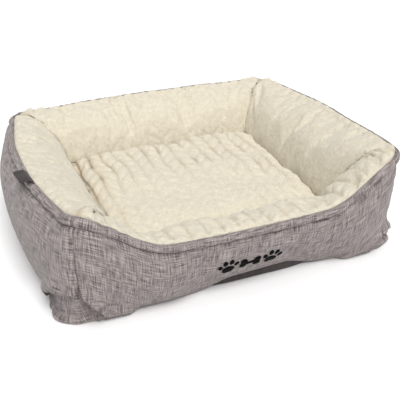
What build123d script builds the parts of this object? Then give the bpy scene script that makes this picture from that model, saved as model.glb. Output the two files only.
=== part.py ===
from build123d import *
import os
from collections import namedtuple
from math import cos, hypot, inf, radians, sqrt

# Rectangular pet bed: four padded walls sewn round a flat base, lined with plush, with a loose cushion inside.
# Millimetres. +Z is up, the low entry side faces -Y, and the origin is under the middle on the resting surface.

# ---- Plan of the rim seam and of the base under it ----
rim_width = 652.0
rim_depth = 590.0
base_side_standout = 24.0
base_end_setback = 25.0
base_corner = 47.0
rim_corner = 50.0
side_bow = 15.0
left_bow = 25.0
front_bow = 17.0

# ---- Heights of the rim seam ----
corner_height = 229.0
back_height = 190.0
front_height = 154.0
entry_half = 153.0

# ---- Bolster section ----
bolster_depth = 98.0
side_bulge = 45.0
left_bulge = 33.9
front_bulge = 12.0
crown_reach = 35.0
crown_lift = 28.0
lining_swell = 24.0
swell_height = 0.8
panel_shoulder = 0.25

# ---- Cloth and gaps ----
panel_cloth = 2.5
plush_cloth = 6.0
band_cloth = 1.6
band_drop = 16.0
ply_gap = 0.3

# ---- Floor of the bed ----
base_cloth = 3.0
wadding_thickness = 8.0
floor_cloth = 2.0

# ---- Sewn corner feet ----
foot_reach = 72.0
foot_height = 46.0

# ---- Loose cushion ----
cushion_gap = 3.0
cushion_lift_gap = 0.5
cushion_thickness = 92.0
cushion_corner = 46.0
cushion_under = 22.0
cushion_crown = 12.0
cushion_cloth = 4.0
seam_level = 0.55

# ---- Zip in the rear seam of the cushion ----
zip_length = 300.0
tape_height = 24.0
tape_cloth = 1.0
coil_radius = 1.5
coil_clearance = 0.3
slider_length = 11.0
slider_height = 9.0
slider_plate = 1.5
pin_radius = 0.8
pin_clearance = 0.2
barrel_wall = 0.9
barrel_height = 4.4
lug_plate = 1.4
puller_length = 19.0
puller_height = 5.4
puller_plate = 1.2

# ---- Woven tab and embroidered motif ----
tab_width = 64.0
tab_length = 26.0
tab_cloth = 1.2
tab_along = 88.0
motif_width = 130.0
motif_height = 42.0
motif_thread = 1.0
motif_along = -2.0
motif_level = 72.0

# ---- How finely the walls are divided ----
fan_steps = 3
side_spans = 4
front_spans = 8
panel_points = 6
lining_points = 8
swell_points = 40
least_step = 1e-9

base_width = rim_width + 2 * base_side_standout
base_depth = rim_depth - 2 * base_end_setback
base_top = base_cloth + ply_gap
floor_top = base_top + wadding_thickness + ply_gap + floor_cloth


# ---------------------------------------------------------------- curves

def bezier(corners, count):
    """Points along a cubic curve through a bolster's section."""
    points = []
    for i in range(count):
        t = i / (count - 1)
        weights = ((1 - t) ** 3, 3 * t * (1 - t) ** 2, 3 * t * t * (1 - t), t ** 3)
        across = sum(w * c[0] for w, c in zip(weights, corners))
        level = sum(w * c[1] for w, c in zip(weights, corners))
        points.append((across, level))
    return points


def ease(t):
    """Smooth step from 0 to 1."""
    t = min(max(t, 0.0), 1.0)
    return t * t * (3 - 2 * t)


def shifted(line, amount, first_slide, last_slide):
    """The line moved to its right by amount; its two ends slide along the given directions."""
    normals = []
    for (x0, z0), (x1, z1) in zip(line, line[1:]):
        length = hypot(x1 - x0, z1 - z0)
        normals.append(((z1 - z0) / length, (x0 - x1) / length))
    moved = []
    for i, (x, z) in enumerate(line):
        before = normals[max(i - 1, 0)]
        after = normals[min(i, len(normals) - 1)]
        if i == 0:
            way = first_slide
        elif i == len(line) - 1:
            way = last_slide
        else:
            way = (before[0] + after[0], before[1] + after[1])
        reach = amount / (way[0] * after[0] + way[1] * after[1])
        moved.append((x + way[0] * reach, z + way[1] * reach))
    return moved


# ---------------------------------------------------------------- plan of the walls

Wall = namedtuple("Wall", "name turn half_length half_span bow bulge before after spans")
Section = namedtuple("Section", "pivot heading rim inside height bulge base")


def rim_swell(bulge, height, base):
    """How far the outer cloth stands out beyond the rim seam."""
    corners = ((0, height), (bulge, height), (bulge, panel_shoulder * height), (base, base_top))
    return max(across for across, level in bezier(corners, swell_points))


# The rim sits forward of the base, so that the whole bed is centred front to back.
back_reach = rim_depth / 2 + side_bow + rim_swell(side_bulge, back_height, base_depth / 2 - rim_depth / 2)
front_reach = rim_depth / 2 + front_bow + rim_swell(front_bulge, front_height, base_depth / 2 - rim_depth / 2)
rim_y = (front_reach - back_reach) / 2

walls = [
    Wall("front", 0, rim_width / 2, rim_depth / 2, front_bow, front_bulge, left_bulge, side_bulge, front_spans),
    Wall("right", 90, rim_depth / 2, rim_width / 2, side_bow, side_bulge, front_bulge, side_bulge, side_spans),
    Wall("back", 180, rim_width / 2, rim_depth / 2, side_bow, side_bulge, side_bulge, left_bulge, side_spans),
    Wall("left", 270, rim_depth / 2, rim_width / 2, left_bow, left_bulge, side_bulge, front_bulge, side_spans),
]


def to_plan(wall, along, outward):
    """A wall's own plan coordinates turned into the bed's."""
    return Vector(along, -outward, 0).rotate(Axis.Z, wall.turn) + Vector(0, rim_y, 0)


def base_reach(pivot, heading):
    """Distance from a point over the base to the base's rounded outline, along a heading."""
    x, y = (abs(pivot.X), abs(pivot.Y))
    step_x, step_y = (abs(heading.X), abs(heading.Y))
    if pivot.X * heading.X < 0:
        x = -x
    if pivot.Y * heading.Y < 0:
        y = -y
    to_side = (base_width / 2 - x) / step_x if step_x > least_step else inf
    to_end = (base_depth / 2 - y) / step_y if step_y > least_step else inf
    reach = min(to_side, to_end)
    arc_x = base_width / 2 - base_corner
    arc_y = base_depth / 2 - base_corner
    if x + reach * step_x > arc_x and y + reach * step_y > arc_y:
        towards = (x - arc_x) * step_x + (y - arc_y) * step_y
        apart = (x - arc_x) ** 2 + (y - arc_y) ** 2 - base_corner ** 2
        reach = sqrt(towards ** 2 - apart) - towards
    return reach


def rim_level(wall, along):
    """Height of the rim seam: low across the entry, rising to the front corners, falling to the back."""
    share = (along / wall.half_length + 1) / 2
    if wall.name == "front":
        rise = ease((abs(along) - entry_half) / (wall.half_length - entry_half))
        return front_height + (corner_height - front_height) * rise
    if wall.name == "right":
        return corner_height + (back_height - corner_height) * share
    if wall.name == "left":
        return back_height + (corner_height - back_height) * share
    return back_height


def straight_section(wall, along):
    """The section across a wall between its two corners."""
    half = wall.half_length - rim_corner
    pivot = to_plan(wall, along, wall.half_span - rim_corner)
    heading = Vector(0, -1, 0).rotate(Axis.Z, wall.turn)
    rim = rim_corner + wall.bow * (1 - (along / half) ** 2)
    base = base_reach(pivot, heading) - rim
    return Section(pivot, heading, rim, 1.0, rim_level(wall, along), wall.bulge, base)


def corner_section(wall, angle):
    """A section that fans round a corner, from the wall's end at 0 to a seam's width short of the mitre at 45."""
    end = 1 if angle > 0 else -1
    half = wall.half_length - rim_corner
    pivot = to_plan(wall, end * (half - ply_gap * abs(angle) / 45), wall.half_span - rim_corner)
    heading = Vector(0, -1, 0).rotate(Axis.Z, wall.turn + angle)
    along = end * (half + rim_corner * abs(angle) / 45)
    neighbour = wall.after if angle > 0 else wall.before
    bulge = wall.bulge + (neighbour - wall.bulge) * abs(angle) / 90
    base = base_reach(pivot, heading) - rim_corner
    return Section(pivot, heading, rim_corner, 1 / cos(radians(angle)), rim_level(wall, along), bulge, base)


def wall_sections(wall):
    """All the sections of a wall, from one mitre to the other."""
    half = wall.half_length - rim_corner
    fan = [45 * step / fan_steps for step in range(fan_steps, 0, -1)]
    sections = [corner_section(wall, -angle) for angle in fan]
    for span in range(wall.spans + 1):
        sections.append(straight_section(wall, half * (2 * span / wall.spans - 1)))
    sections += [corner_section(wall, angle) for angle in reversed(fan)]
    return sections


# ---------------------------------------------------------------- section outlines

def panel_line(section):
    """Outer face of the grey cloth, from the rim seam down to the base."""
    shoulder = (section.bulge, panel_shoulder * section.height)
    corners = ((0, section.height), (section.bulge, section.height), shoulder, (section.base, base_top))
    return bezier(corners, panel_points)


def lining_line(section):
    """Visible face of the plush, from the rim seam over the crown and down to the floor."""
    bow = section.rim - rim_corner
    crown = (-crown_reach, section.height + crown_lift)
    swell = (-bolster_depth - lining_swell, swell_height * section.height)
    foot = (-bolster_depth - bow, base_top)
    return bezier(((-ply_gap, section.height), crown, swell, foot), lining_points)


def panel_outline(section):
    face = panel_line(section)
    return face + shifted(face, panel_cloth, (0, -1), (-1, 0))[::-1]


def lining_outline(section):
    face = lining_line(section)
    return face + shifted(face, -plush_cloth, (0, -1), (1, 0))[::-1]


def fill_outline(section):
    outside = shifted(panel_line(section), panel_cloth + ply_gap, (0, -1), (-1, 0))[1:]
    inside = shifted(lining_line(section), -plush_cloth - ply_gap, (0, -1), (1, 0))[1:]
    return outside + inside[::-1]


def band_outline(section):
    """The folded hem lies on the first stretch of the outer cloth, below the rim seam."""
    face = panel_line(section)[:2]
    length = hypot(face[1][0] - face[0][0], face[1][1] - face[0][1])
    down = ((face[1][0] - face[0][0]) / length, (face[1][1] - face[0][1]) / length)
    out = (-down[1], down[0])
    outline = []
    for run, stand in ((ply_gap, ply_gap), (band_drop, ply_gap), (band_drop, ply_gap + band_cloth),
                       (ply_gap, ply_gap + band_cloth)):
        across = face[0][0] + down[0] * run + out[0] * stand
        level = face[0][1] + down[1] * run + out[1] * stand
        outline.append((across, level))
    return outline


def place(section, point):
    """A point of a section, across and up from its rim seam, put in the bed's own space."""
    reach = section.rim + point[0]
    if reach < 0:
        reach *= section.inside
    spot = section.pivot + section.heading * reach
    return Vector(spot.X, spot.Y, point[1])


def ply(sections, outline):
    """One cloth or filling: its outline carried along the wall's sections."""
    wires = []
    for section in sections:
        points = [place(section, point) for point in outline(section)]
        wires.append(Wire.make_polygon(points, close=True))
    return Solid.make_loft(wires, ruled=True)


# ---------------------------------------------------------------- walls, feet and floor

def foot_zone(side_x, side_y, spare):
    """Block that takes in one bottom corner of the outer cloth."""
    reach = foot_reach + spare
    centre = Pos(side_x * base_width / 2, side_y * base_depth / 2, (foot_height + spare) / 2)
    return centre * Box(2 * reach, 2 * reach, foot_height + spare)


def make_walls():
    """Outer panel, folded hem, plush lining and filling of each wall."""
    nodes = {}
    for wall in walls:
        sections = wall_sections(wall)
        nodes[f"outer_panel_{wall.name}"] = ply(sections, panel_outline)
        nodes[f"rim_band_{wall.name}"] = ply(sections, band_outline)
        nodes[f"plush_liner_{wall.name}"] = ply(sections, lining_outline)
        nodes[f"bolster_fill_{wall.name}"] = ply(sections, fill_outline)
    return nodes


def make_feet(nodes):
    """Boxed bottom corners, cut from the panels' cloth and kept a seam's width from them."""
    corners = (("front", "left", -1, -1), ("front", "right", 1, -1), ("back", "left", -1, 1), ("back", "right", 1, 1))
    feet = {}
    for end, side, side_x, side_y in corners:
        panels = (nodes[f"outer_panel_{end}"], nodes[f"outer_panel_{side}"])
        pieces = [panel & foot_zone(side_x, side_y, 0) for panel in panels]
        feet[f"corner_foot_{end}_{side}"] = pieces[0] + pieces[1]
    for end, side, side_x, side_y in corners:
        for name in (f"outer_panel_{end}", f"outer_panel_{side}"):
            nodes[name] = nodes[name] - foot_zone(side_x, side_y, ply_gap)
    return feet


def make_floor():
    """Non-slip base cloth, wadding, and the plain lining under the cushion."""
    base = extrude(RectangleRounded(base_width, base_depth, base_corner), base_cloth)
    floor_width = rim_width - 2 * bolster_depth - 2 * ply_gap
    floor_depth = rim_depth - 2 * bolster_depth - 2 * ply_gap
    wadding = Box(floor_width, floor_depth, wadding_thickness, align=(Align.CENTER, Align.CENTER, Align.MIN))
    lining = Box(floor_width, floor_depth, floor_cloth, align=(Align.CENTER, Align.CENTER, Align.MIN))
    return {
        "base_panel": base,
        "base_wadding": Pos(0, rim_y, base_top) * wadding,
        "floor_lining": Pos(0, rim_y, floor_top - floor_cloth) * lining,
    }


# ---------------------------------------------------------------- loose cushion

well_width = rim_width - 2 * bolster_depth
well_depth = rim_depth - 2 * bolster_depth
cushion_bottom = floor_top + cushion_lift_gap
cushion_top = cushion_bottom + cushion_thickness
cushion_seam = cushion_bottom + seam_level * cushion_thickness


def pillow(shrink):
    """Cushion shape inside its cloth by shrink: narrow under, full at the sides, gently crowned on top."""
    low = cushion_bottom + shrink
    high = cushion_top - shrink
    levels = (
        (low, cushion_under + cushion_crown),
        (low + cushion_crown, cushion_under),
        (cushion_seam, cushion_under),
        (cushion_top - 2 * cushion_crown, 0.0),
        (high - cushion_crown, 0.0),
        (high - cushion_crown / 3, cushion_under),
        (high, 3 * cushion_under),
    )
    sections = []
    for level, inset in levels:
        half_gap = cushion_gap + inset + shrink
        width = well_width - 2 * half_gap
        depth = well_depth - 2 * half_gap
        sections.append(Pos(0, rim_y, level) * RectangleRounded(width, depth, cushion_corner - shrink))
    return loft(sections, ruled=True)


def make_cushion():
    """Plush top cover and plain bottom cover, sewn together round the filling."""
    shell = pillow(0) - pillow(cushion_cloth)
    block = Box(base_width, base_depth, cushion_thickness, align=(Align.CENTER, Align.CENTER, Align.MIN))
    above = Pos(0, 0, cushion_seam + ply_gap / 2) * block
    below = Pos(0, 0, cushion_seam - ply_gap / 2 - cushion_thickness) * block
    return {
        "cushion_top_cover": shell & above,
        "cushion_bottom_cover": shell & below,
        "cushion_fill": pillow(cushion_cloth + ply_gap),
    }


# ---------------------------------------------------------------- zip

rear_face = rim_y + well_depth / 2 - cushion_gap - cushion_under
zip_level = cushion_seam - ply_gap - tape_height / 2
tape_face = rear_face + ply_gap + tape_cloth
coil_y = tape_face + coil_clearance + coil_radius
slider_x = zip_length / 2 - slider_length
plate_y = coil_y + coil_radius + coil_clearance
pin_y = plate_y + slider_plate + pin_clearance + pin_radius + barrel_wall
lug_span = barrel_height + 2 * pin_clearance


def make_zip():
    """Tape and coil on the rear face, and the slider that runs along the coil."""
    tape = Pos(0, rear_face + ply_gap + tape_cloth / 2, zip_level) * Box(zip_length, tape_cloth, tape_height)
    coil = Pos(0, coil_y, zip_level) * Rot(0, 90, 0) * Cylinder(coil_radius, zip_length)
    channel = coil_radius + coil_clearance
    body_depth = plate_y + slider_plate - tape_face - coil_clearance
    body = Pos(0, plate_y + slider_plate - body_depth / 2, 0) * Box(slider_length, body_depth, slider_height)
    body -= Pos(0, coil_y, 0) * Box(2 * slider_length, 2 * channel, 2 * channel)
    body -= Pos(0, tape_face, 0) * Box(2 * slider_length, 2 * (coil_y - tape_face), 2 * channel)
    lug_length = 2 * (pin_radius + barrel_wall)
    for side in (-1, 1):
        lug_depth = pin_y + pin_radius - plate_y
        lug = Box(lug_length, lug_depth, lug_plate)
        body += Pos(0, plate_y + lug_depth / 2, side * (lug_span + lug_plate) / 2) * lug
    body += Pos(0, pin_y, 0) * Cylinder(pin_radius, lug_span + lug_plate)
    return {
        "cushion_zip_tape": tape,
        "cushion_zip_coil": coil,
        "zip_slider": Pos(slider_x, 0, zip_level) * body,
    }


def make_puller():
    """Pull tab: a small barrel on the slider's pin, with a flat plate lying along the coil."""
    bore = pin_radius + pin_clearance
    barrel = Cylinder(bore + barrel_wall, barrel_height)
    plate = Pos(-puller_length / 2, 0, 0) * Box(puller_length, puller_plate, barrel_height)
    tip = Pos(-puller_length, 0, 0) * Rot(90, 0, 0) * Cylinder(puller_height / 2, puller_plate)
    puller = barrel + plate + tip - Cylinder(bore, 2 * puller_height)
    return {"zip_puller": Pos(slider_x, pin_y, zip_level) * puller}


# ---------------------------------------------------------------- woven tab and motif

def tab_frame():
    """Plane of the woven tab where it leaves the rim seam of the left wall, facing outward."""
    left = walls[3]
    middle, near, far = (straight_section(left, tab_along + side * tab_width / 2) for side in (0, -1, 1))
    seam = [place(section, panel_line(section)[0]) for section in (near, far)]
    along = (seam[1] - seam[0]).normalized()
    start, shoulder = (place(middle, point) for point in panel_line(middle)[:2])
    out = (shoulder - start).normalized().cross(along).normalized()
    down = along.cross(out)
    stand = 2 * ply_gap + band_cloth + tab_cloth / 2
    return Plane(origin=start + out * stand + down * ply_gap, x_dir=along, z_dir=out)


def make_tab():
    tab = Pos(0, -tab_length / 2, 0) * Box(tab_width, tab_length, tab_cloth)
    return {"label_tab": tab_frame() * tab}


def paw(size):
    """A plain paw: one pad and four toes."""
    pad = Pos(0, -0.18 * size) * Ellipse(0.30 * size, 0.24 * size)
    outer_toe = Ellipse(0.10 * size, 0.14 * size)
    inner_toe = Ellipse(0.11 * size, 0.16 * size)
    toes = Pos(-0.38 * size, 0.10 * size) * Rot(0, 0, 24) * outer_toe
    toes += Pos(0.38 * size, 0.10 * size) * Rot(0, 0, -24) * outer_toe
    toes += Pos(-0.145 * size, 0.31 * size) * Rot(0, 0, 7) * inner_toe
    toes += Pos(0.145 * size, 0.31 * size) * Rot(0, 0, -7) * inner_toe
    return pad + toes


def bone(length, knob):
    """A plain bone: a shank with two knobs at each end."""
    shape = Rectangle(length - 2 * knob, 1.1 * knob)
    for end in (-1, 1):
        for side in (-1, 1):
            shape += Pos(end * (length / 2 - knob), side * 0.72 * knob) * Circle(knob)
    return shape


def make_motif():
    """Embroidery on the front panel: a bone between two paws, following the cloth."""
    front = walls[0]

    def thread_outline(section):
        face = panel_line(section)
        near = shifted(face, -ply_gap, (0, 1), (1, 0))
        far = shifted(face, -ply_gap - motif_thread, (0, 1), (1, 0))
        return near + far[::-1]

    art = bone(motif_width - 2.1 * motif_height, 0.17 * motif_height)
    for side in (-1, 1):
        art += Pos(side * (motif_width - 0.96 * motif_height) / 2, 0) * Rot(0, 0, -8 * side) * paw(motif_height)
    upright = Plane(origin=(motif_along, 0, motif_level), x_dir=(1, 0, 0), z_dir=(0, -1, 0))
    return {"motif": ply(wall_sections(front), thread_outline) & extrude(upright * art, base_depth)}


# ---------------------------------------------------------------- assembly

def main():
    nodes = make_walls()
    nodes.update(make_feet(nodes))
    nodes.update(make_floor())
    nodes.update(make_cushion())
    nodes.update(make_zip())
    nodes.update(make_puller())
    nodes.update(make_tab())
    nodes.update(make_motif())
    os.makedirs("parts", exist_ok=True)
    for name, shape in nodes.items():
        export_step(shape, f"parts/{name}.step")
    tab = tab_frame()
    print("rim centre y", round(rim_y, 3), "floor", floor_top, "cushion", cushion_bottom, cushion_top)
    print("puller pin", slider_x, round(pin_y, 3), zip_level)
    print("tab hinge", tab.origin, "axis", tab.x_dir)


main()
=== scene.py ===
from collections import namedtuple
from math import pi, radians

import bmesh
import bpy
import numpy as np
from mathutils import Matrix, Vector
from mathutils.bvhtree import BVHTree


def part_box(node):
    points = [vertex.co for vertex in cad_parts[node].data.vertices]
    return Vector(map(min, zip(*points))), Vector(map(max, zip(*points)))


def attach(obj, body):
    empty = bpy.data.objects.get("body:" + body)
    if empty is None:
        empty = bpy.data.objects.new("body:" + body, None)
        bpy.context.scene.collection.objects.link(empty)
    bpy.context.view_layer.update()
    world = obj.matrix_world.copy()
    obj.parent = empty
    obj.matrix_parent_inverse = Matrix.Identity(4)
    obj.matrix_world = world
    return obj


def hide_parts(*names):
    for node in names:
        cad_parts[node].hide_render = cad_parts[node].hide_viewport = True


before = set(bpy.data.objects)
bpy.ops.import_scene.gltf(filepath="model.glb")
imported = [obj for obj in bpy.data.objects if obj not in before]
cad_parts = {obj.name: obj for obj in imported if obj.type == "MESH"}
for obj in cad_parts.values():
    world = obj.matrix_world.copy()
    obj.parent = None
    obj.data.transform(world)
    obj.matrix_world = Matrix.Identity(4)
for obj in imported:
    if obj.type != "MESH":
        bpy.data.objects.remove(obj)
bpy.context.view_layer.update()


# ---------------------------------------------------------------- view and stage
# The bed stands on a plain white sweep in soft studio light: one broad key from high in front,
# a weaker light from above and an even surround, so that the pale plush keeps its relief.
scene = bpy.context.scene
scene.view_settings.view_transform = "Standard"

camera = bpy.data.objects.new("camera", bpy.data.cameras.new("camera"))
camera.location = (-0.498, -1.261, 0.807)
camera.rotation_euler = (radians(60.54), 0, radians(-22.61))
camera.data.lens = 62.7
scene.collection.objects.link(camera)
scene.camera = camera

floor_mesh = bpy.data.meshes.new("studio_floor")
floor_half = 12.0
floor_corners = [(x * floor_half, y * floor_half, 0) for x, y in ((-1, -1), (1, -1), (1, 1), (-1, 1))]
floor_mesh.from_pydata(floor_corners, [], [(0, 1, 2, 3)])
studio_floor = bpy.data.objects.new("studio_floor", floor_mesh)
scene.collection.objects.link(studio_floor)
floor_paint = bpy.data.materials.new("floor_paint")
floor_paint.use_nodes = True
paint_shader = floor_paint.node_tree.nodes["Principled BSDF"]
paint_shader.inputs["Base Color"].default_value = (0.96, 0.96, 0.96, 1)
paint_shader.inputs["Roughness"].default_value = 0.9
floor_mesh.materials.append(floor_paint)

surround = bpy.data.worlds.new("surround")
surround.use_nodes = True
background = surround.node_tree.nodes["Background"]
background.inputs["Color"].default_value = (1.0, 1.0, 1.0, 1)
background.inputs["Strength"].default_value = 0.46
scene.world = surround

for name, azimuth, elevation, softness, power in (("key", 3, 56, 34, 2.3), ("top", 60, 80, 60, 0.7)):
    lamp = bpy.data.objects.new(name, bpy.data.lights.new(name, "SUN"))
    lamp.data.angle = radians(softness)
    lamp.data.energy = power
    lamp.rotation_euler = (radians(90 - elevation), 0, radians(-azimuth))
    scene.collection.objects.link(lamp)


# ---------------------------------------------------------------- bolster walls
# Four walls of loose polyester fibre in a sewn case: grey linen-look cloth outside, cream plush inside.
# Each is cut long, sewn at the rim, the base and the mitred corners, and stuffed, so it puckers at its seams.
bolster_depth = 0.098
rim_corner = 0.050
base_corner = 0.047
corner_height, back_height, front_height = 0.229, 0.190, 0.154
entry_half, entry_lean = 0.153, 0.62
crown_reach, crown_lift = 0.030, 0.030
lining_swell = 0.020
base_reveal, reveal_middle, reveal_half = 0.018, 0.040, 0.140
base_tuck, tuck_start = 0.003, -0.125
corner_run = 0.17
cell = 0.0075
case_sag, case_floor = 0.0022, 0.0015
outer_rows, under_rows, inner_rows = 27, 8, 43

well_low, well_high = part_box("floor_lining")
well_middle = np.array(((well_low.x + well_high.x) / 2, (well_low.y + well_high.y) / 2))
well_half = np.array((well_high.x - well_low.x, well_high.y - well_low.y)) / 2
rim_half = well_half + bolster_depth
_, base_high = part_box("base_panel")
base_half = np.array((base_high.x, base_high.y))
base_top = base_high.z + 0.0004

# Outer section of each wall and of each corner: how far it bulges, how much of that shows at the shoulder,
# and how far the shoulder drops below the rim.
Wall = namedtuple("Wall", "name turn half_length half_span bow outer before after seed")
corners = {"front_left": (0.026, 0.9, 0.010), "front_right": (0.012, 0.4, 0.014),
           "back_right": (0.030, 0.3, 0.030), "back_left": (0.036, 0.7, 0.012)}
half_x, half_y = rim_half
walls = {
    "front": Wall("front", 0, half_x, half_y, 0.017, (0.014, 1.0, 0.004), "front_left", "front_right", 3),
    "right": Wall("right", 1, half_y, half_x, 0.015, (0.036, 0.15, 0.040), "front_right", "back_right", 7),
    "back": Wall("back", 2, half_x, half_y, 0.015, (0.036, 0.15, 0.040), "back_right", "back_left", 11),
    "left": Wall("left", 3, half_y, half_x, 0.025, (0.038, 1.0, 0.000), "back_left", "front_left", 19),
}


def ease(t):
    """Smooth step from 0 to 1."""
    t = np.clip(t, 0.0, 1.0)
    return t * t * (3 - 2 * t)


def turned(points, quarter):
    """Plan directions turned by quarter turns about the vertical."""
    turn = np.array(((1, 0), (0, 1), (-1, 0), (0, -1)))[quarter]
    x, y = points[..., 0], points[..., 1]
    return np.stack((x * turn[0] - y * turn[1], x * turn[1] + y * turn[0]), -1)


def ripple(points, size, seed, waves=14):
    """Smooth noise from -1 to 1 made of plane waves of about the given size."""
    chance = np.random.default_rng(seed)
    points = np.asarray(points, float)
    total = np.zeros(points.shape[:-1])
    for _ in range(waves):
        way = chance.normal(size=points.shape[-1])
        way *= 2 * pi / (size * chance.uniform(0.7, 1.5) * np.linalg.norm(way))
        total += np.sin(points @ way + chance.uniform(0, 2 * pi))
    return np.clip(total / np.sqrt(waves), -1.6, 1.6)


def bezier(corners, count=64):
    """Cubic curves, one for each column, as an array of count by columns by two."""
    t = np.linspace(0, 1, count)[:, None, None]
    p = [np.stack(np.broadcast_arrays(*corner), -1)[None] for corner in corners]
    return (1 - t) ** 3 * p[0] + 3 * t * (1 - t) ** 2 * p[1] + 3 * t * t * (1 - t) * p[2] + t ** 3 * p[3]


def run_of(line):
    """Distance of each point of a line from its first, along the line."""
    return np.concatenate(([0], np.cumsum(np.linalg.norm(np.diff(line, axis=0), axis=1))))


def along_line(at, run, line):
    """What a line holds at the given distances along it."""
    return np.stack([np.interp(at, run, line[:, k]) for k in range(line.shape[1])], -1)


def evened(curves, count):
    """Each column's curve again, as count points an even distance apart."""
    out = np.empty((count,) + curves.shape[1:])
    for column in range(curves.shape[1]):
        line = curves[:, column]
        run = run_of(line)
        out[:, column] = along_line(np.linspace(0, run[-1], count), run, line)
    return out


def base_reach(pivot, heading):
    """Distance from points over the base to its rounded outline, along their headings."""
    spot = pivot * np.where(heading >= 0, 1, -1)
    step = np.maximum(np.abs(heading), 1e-9)
    reach = np.min((base_half - spot) / step, axis=1)
    arc = base_half - base_corner
    edge = spot + reach[:, None] * step
    towards = np.sum((spot - arc) * step, 1)
    apart = np.sum((spot - arc) ** 2, 1) - base_corner ** 2
    rounded = np.sqrt(np.maximum(towards ** 2 - apart, 0)) - towards
    return np.where((edge > arc).all(1), rounded, reach)


def rim_level(wall, along):
    """Height of the rim seam: low across the entry, rising to the front corners, falling to the back."""
    share = (along / wall.half_length + 1) / 2
    if wall.name == "front":
        rise = ease((np.abs(along) - entry_half) / (wall.half_length - entry_half))
        return front_height + (corner_height - front_height) * rise
    if wall.name == "right":
        return corner_height + (back_height - corner_height) * share
    if wall.name == "left":
        return back_height + (corner_height - back_height) * share
    return np.full_like(along, back_height)


def tuck_at(along):
    """How far the linen's lower edge is tucked under along the front."""
    return base_tuck * ease((along - tuck_start) / 0.05) * (1 - 0.5 * ease((along - 0.17) / 0.08))


def bolster_start(wall):
    """The case of a wall before it is stuffed: columns along the wall by rows round the section."""
    straight = wall.half_length - rim_corner
    fan = 6
    steps = int(round(2 * straight / cell))
    angle = np.concatenate((np.linspace(-45, 0, fan, endpoint=False), np.zeros(steps + 1),
                            np.linspace(0, 45, fan + 1)[1:]))
    along = np.concatenate((np.full(fan, -straight), np.linspace(-straight, straight, steps + 1),
                            np.full(fan, straight)))
    turn = np.radians(angle)
    pivot = np.stack((along, np.full_like(along, rim_corner - wall.half_span)), -1)
    pivot = turned(pivot, wall.turn) + well_middle
    heading = turned(np.stack((np.sin(turn), -np.cos(turn)), -1), wall.turn)
    bow = wall.bow * (1 - (along / straight) ** 2)
    rim = rim_corner + bow
    run = along + rim_corner * turn
    first, last = (ease(1 - (run[-1] + side * run) / corner_run) for side in (1, -1))
    before, after = corners[wall.before], corners[wall.after]
    bulge, shoulder, drop = (mid + (before[k] - mid) * first + (after[k] - mid) * last
                             for k, mid in enumerate(wall.outer))
    height = rim_level(wall, along + rim_corner * angle / 45)
    base = base_reach(pivot, heading) - rim
    low = np.full_like(along, base_top)
    if wall.name == "front":
        low += base_reveal * ease(1.6 * (1 - np.abs(along - reveal_middle) / reveal_half))
        base -= tuck_at(along) * (1 - np.abs(angle) / 45)
    zero = np.zeros_like(along)
    lean = np.zeros_like(along)
    if wall.name == "front":
        lean = entry_lean * ease((along - tuck_start + 0.03) / 0.06) * ease((0.24 - along) / 0.08)
    belly = bulge + (base - bulge) * lean
    outside = ((zero, height), (bulge * shoulder, height - drop), (belly, 0.25 * height), (base, low))
    outer = evened(bezier(outside), outer_rows)
    spare = np.maximum(bow - 0.015, 0)
    inside = ((zero, height), (-crown_reach - 0.5 * spare, height + crown_lift),
              (-bolster_depth - lining_swell - 1.3 * spare, 0.8 * height), (-bolster_depth - bow, base_top))
    inner = evened(bezier(inside), inner_rows)
    share = np.linspace(0, 1, under_rows + 2)[1:-1, None, None]
    under = outer[-1] + (inner[-1] - outer[-1]) * share
    section = np.concatenate((outer, under, inner[:0:-1]))
    reach = rim + section[..., 0]
    reach = np.where(reach < 0, reach / np.cos(turn), reach)
    plan = pivot + heading * reach[..., None]
    return np.concatenate((plan, section[..., 1:]), -1).transpose(1, 0, 2)


def quads(columns, rows, closed=False):
    """Faces of a grid of points, and round it where it is closed."""
    i, j = np.meshgrid(np.arange(columns - 1), np.arange(rows if closed else rows - 1), indexing="ij")
    k = (j + 1) % rows
    faces = np.stack((i * rows + j, (i + 1) * rows + j, (i + 1) * rows + k, i * rows + k), -1)
    return faces.reshape(-1, 4)


def make_piece(name, points, faces, cloth=None):
    """A mesh object from points and faces; cloth is where each point lies on the flat cloth, in metres; on the
    plush its third value is the painted shade level.
    """
    mesh = bpy.data.meshes.new(name)
    mesh.from_pydata([tuple(p) for p in points], [], [tuple(int(v) for v in f) for f in faces])
    if cloth is not None:
        layer = mesh.attributes.new("cloth", "FLOAT_VECTOR", "POINT")
        layer.data.foreach_set("vector", np.ascontiguousarray(cloth, np.float32).ravel())
    piece = bpy.data.objects.new(name, mesh)
    scene.collection.objects.link(piece)
    form = bmesh.new()
    form.from_mesh(mesh)
    bmesh.ops.recalc_face_normals(form, faces=form.faces)
    form.to_mesh(mesh)
    form.free()
    mesh.shade_smooth()
    return piece


def tube(name, grid, cloth=None):
    """A closed tube from a grid whose rows go right round, with its two ends capped."""
    columns, rows = grid.shape[:2]
    points = np.concatenate((grid.reshape(-1, 3), grid[:1].mean(1), grid[-1:].mean(1)))
    faces = [list(face) for face in quads(columns, rows, closed=True)]
    for column, middle in ((0, columns * rows), (columns - 1, columns * rows + 1)):
        for row in range(rows):
            faces.append([column * rows + row, column * rows + (row + 1) % rows, middle])
    if cloth is not None:
        cloth = np.concatenate((cloth.reshape(-1, 3), cloth[0, :1], cloth[-1, :1]))
    return make_piece(name, points, faces, cloth)


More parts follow.
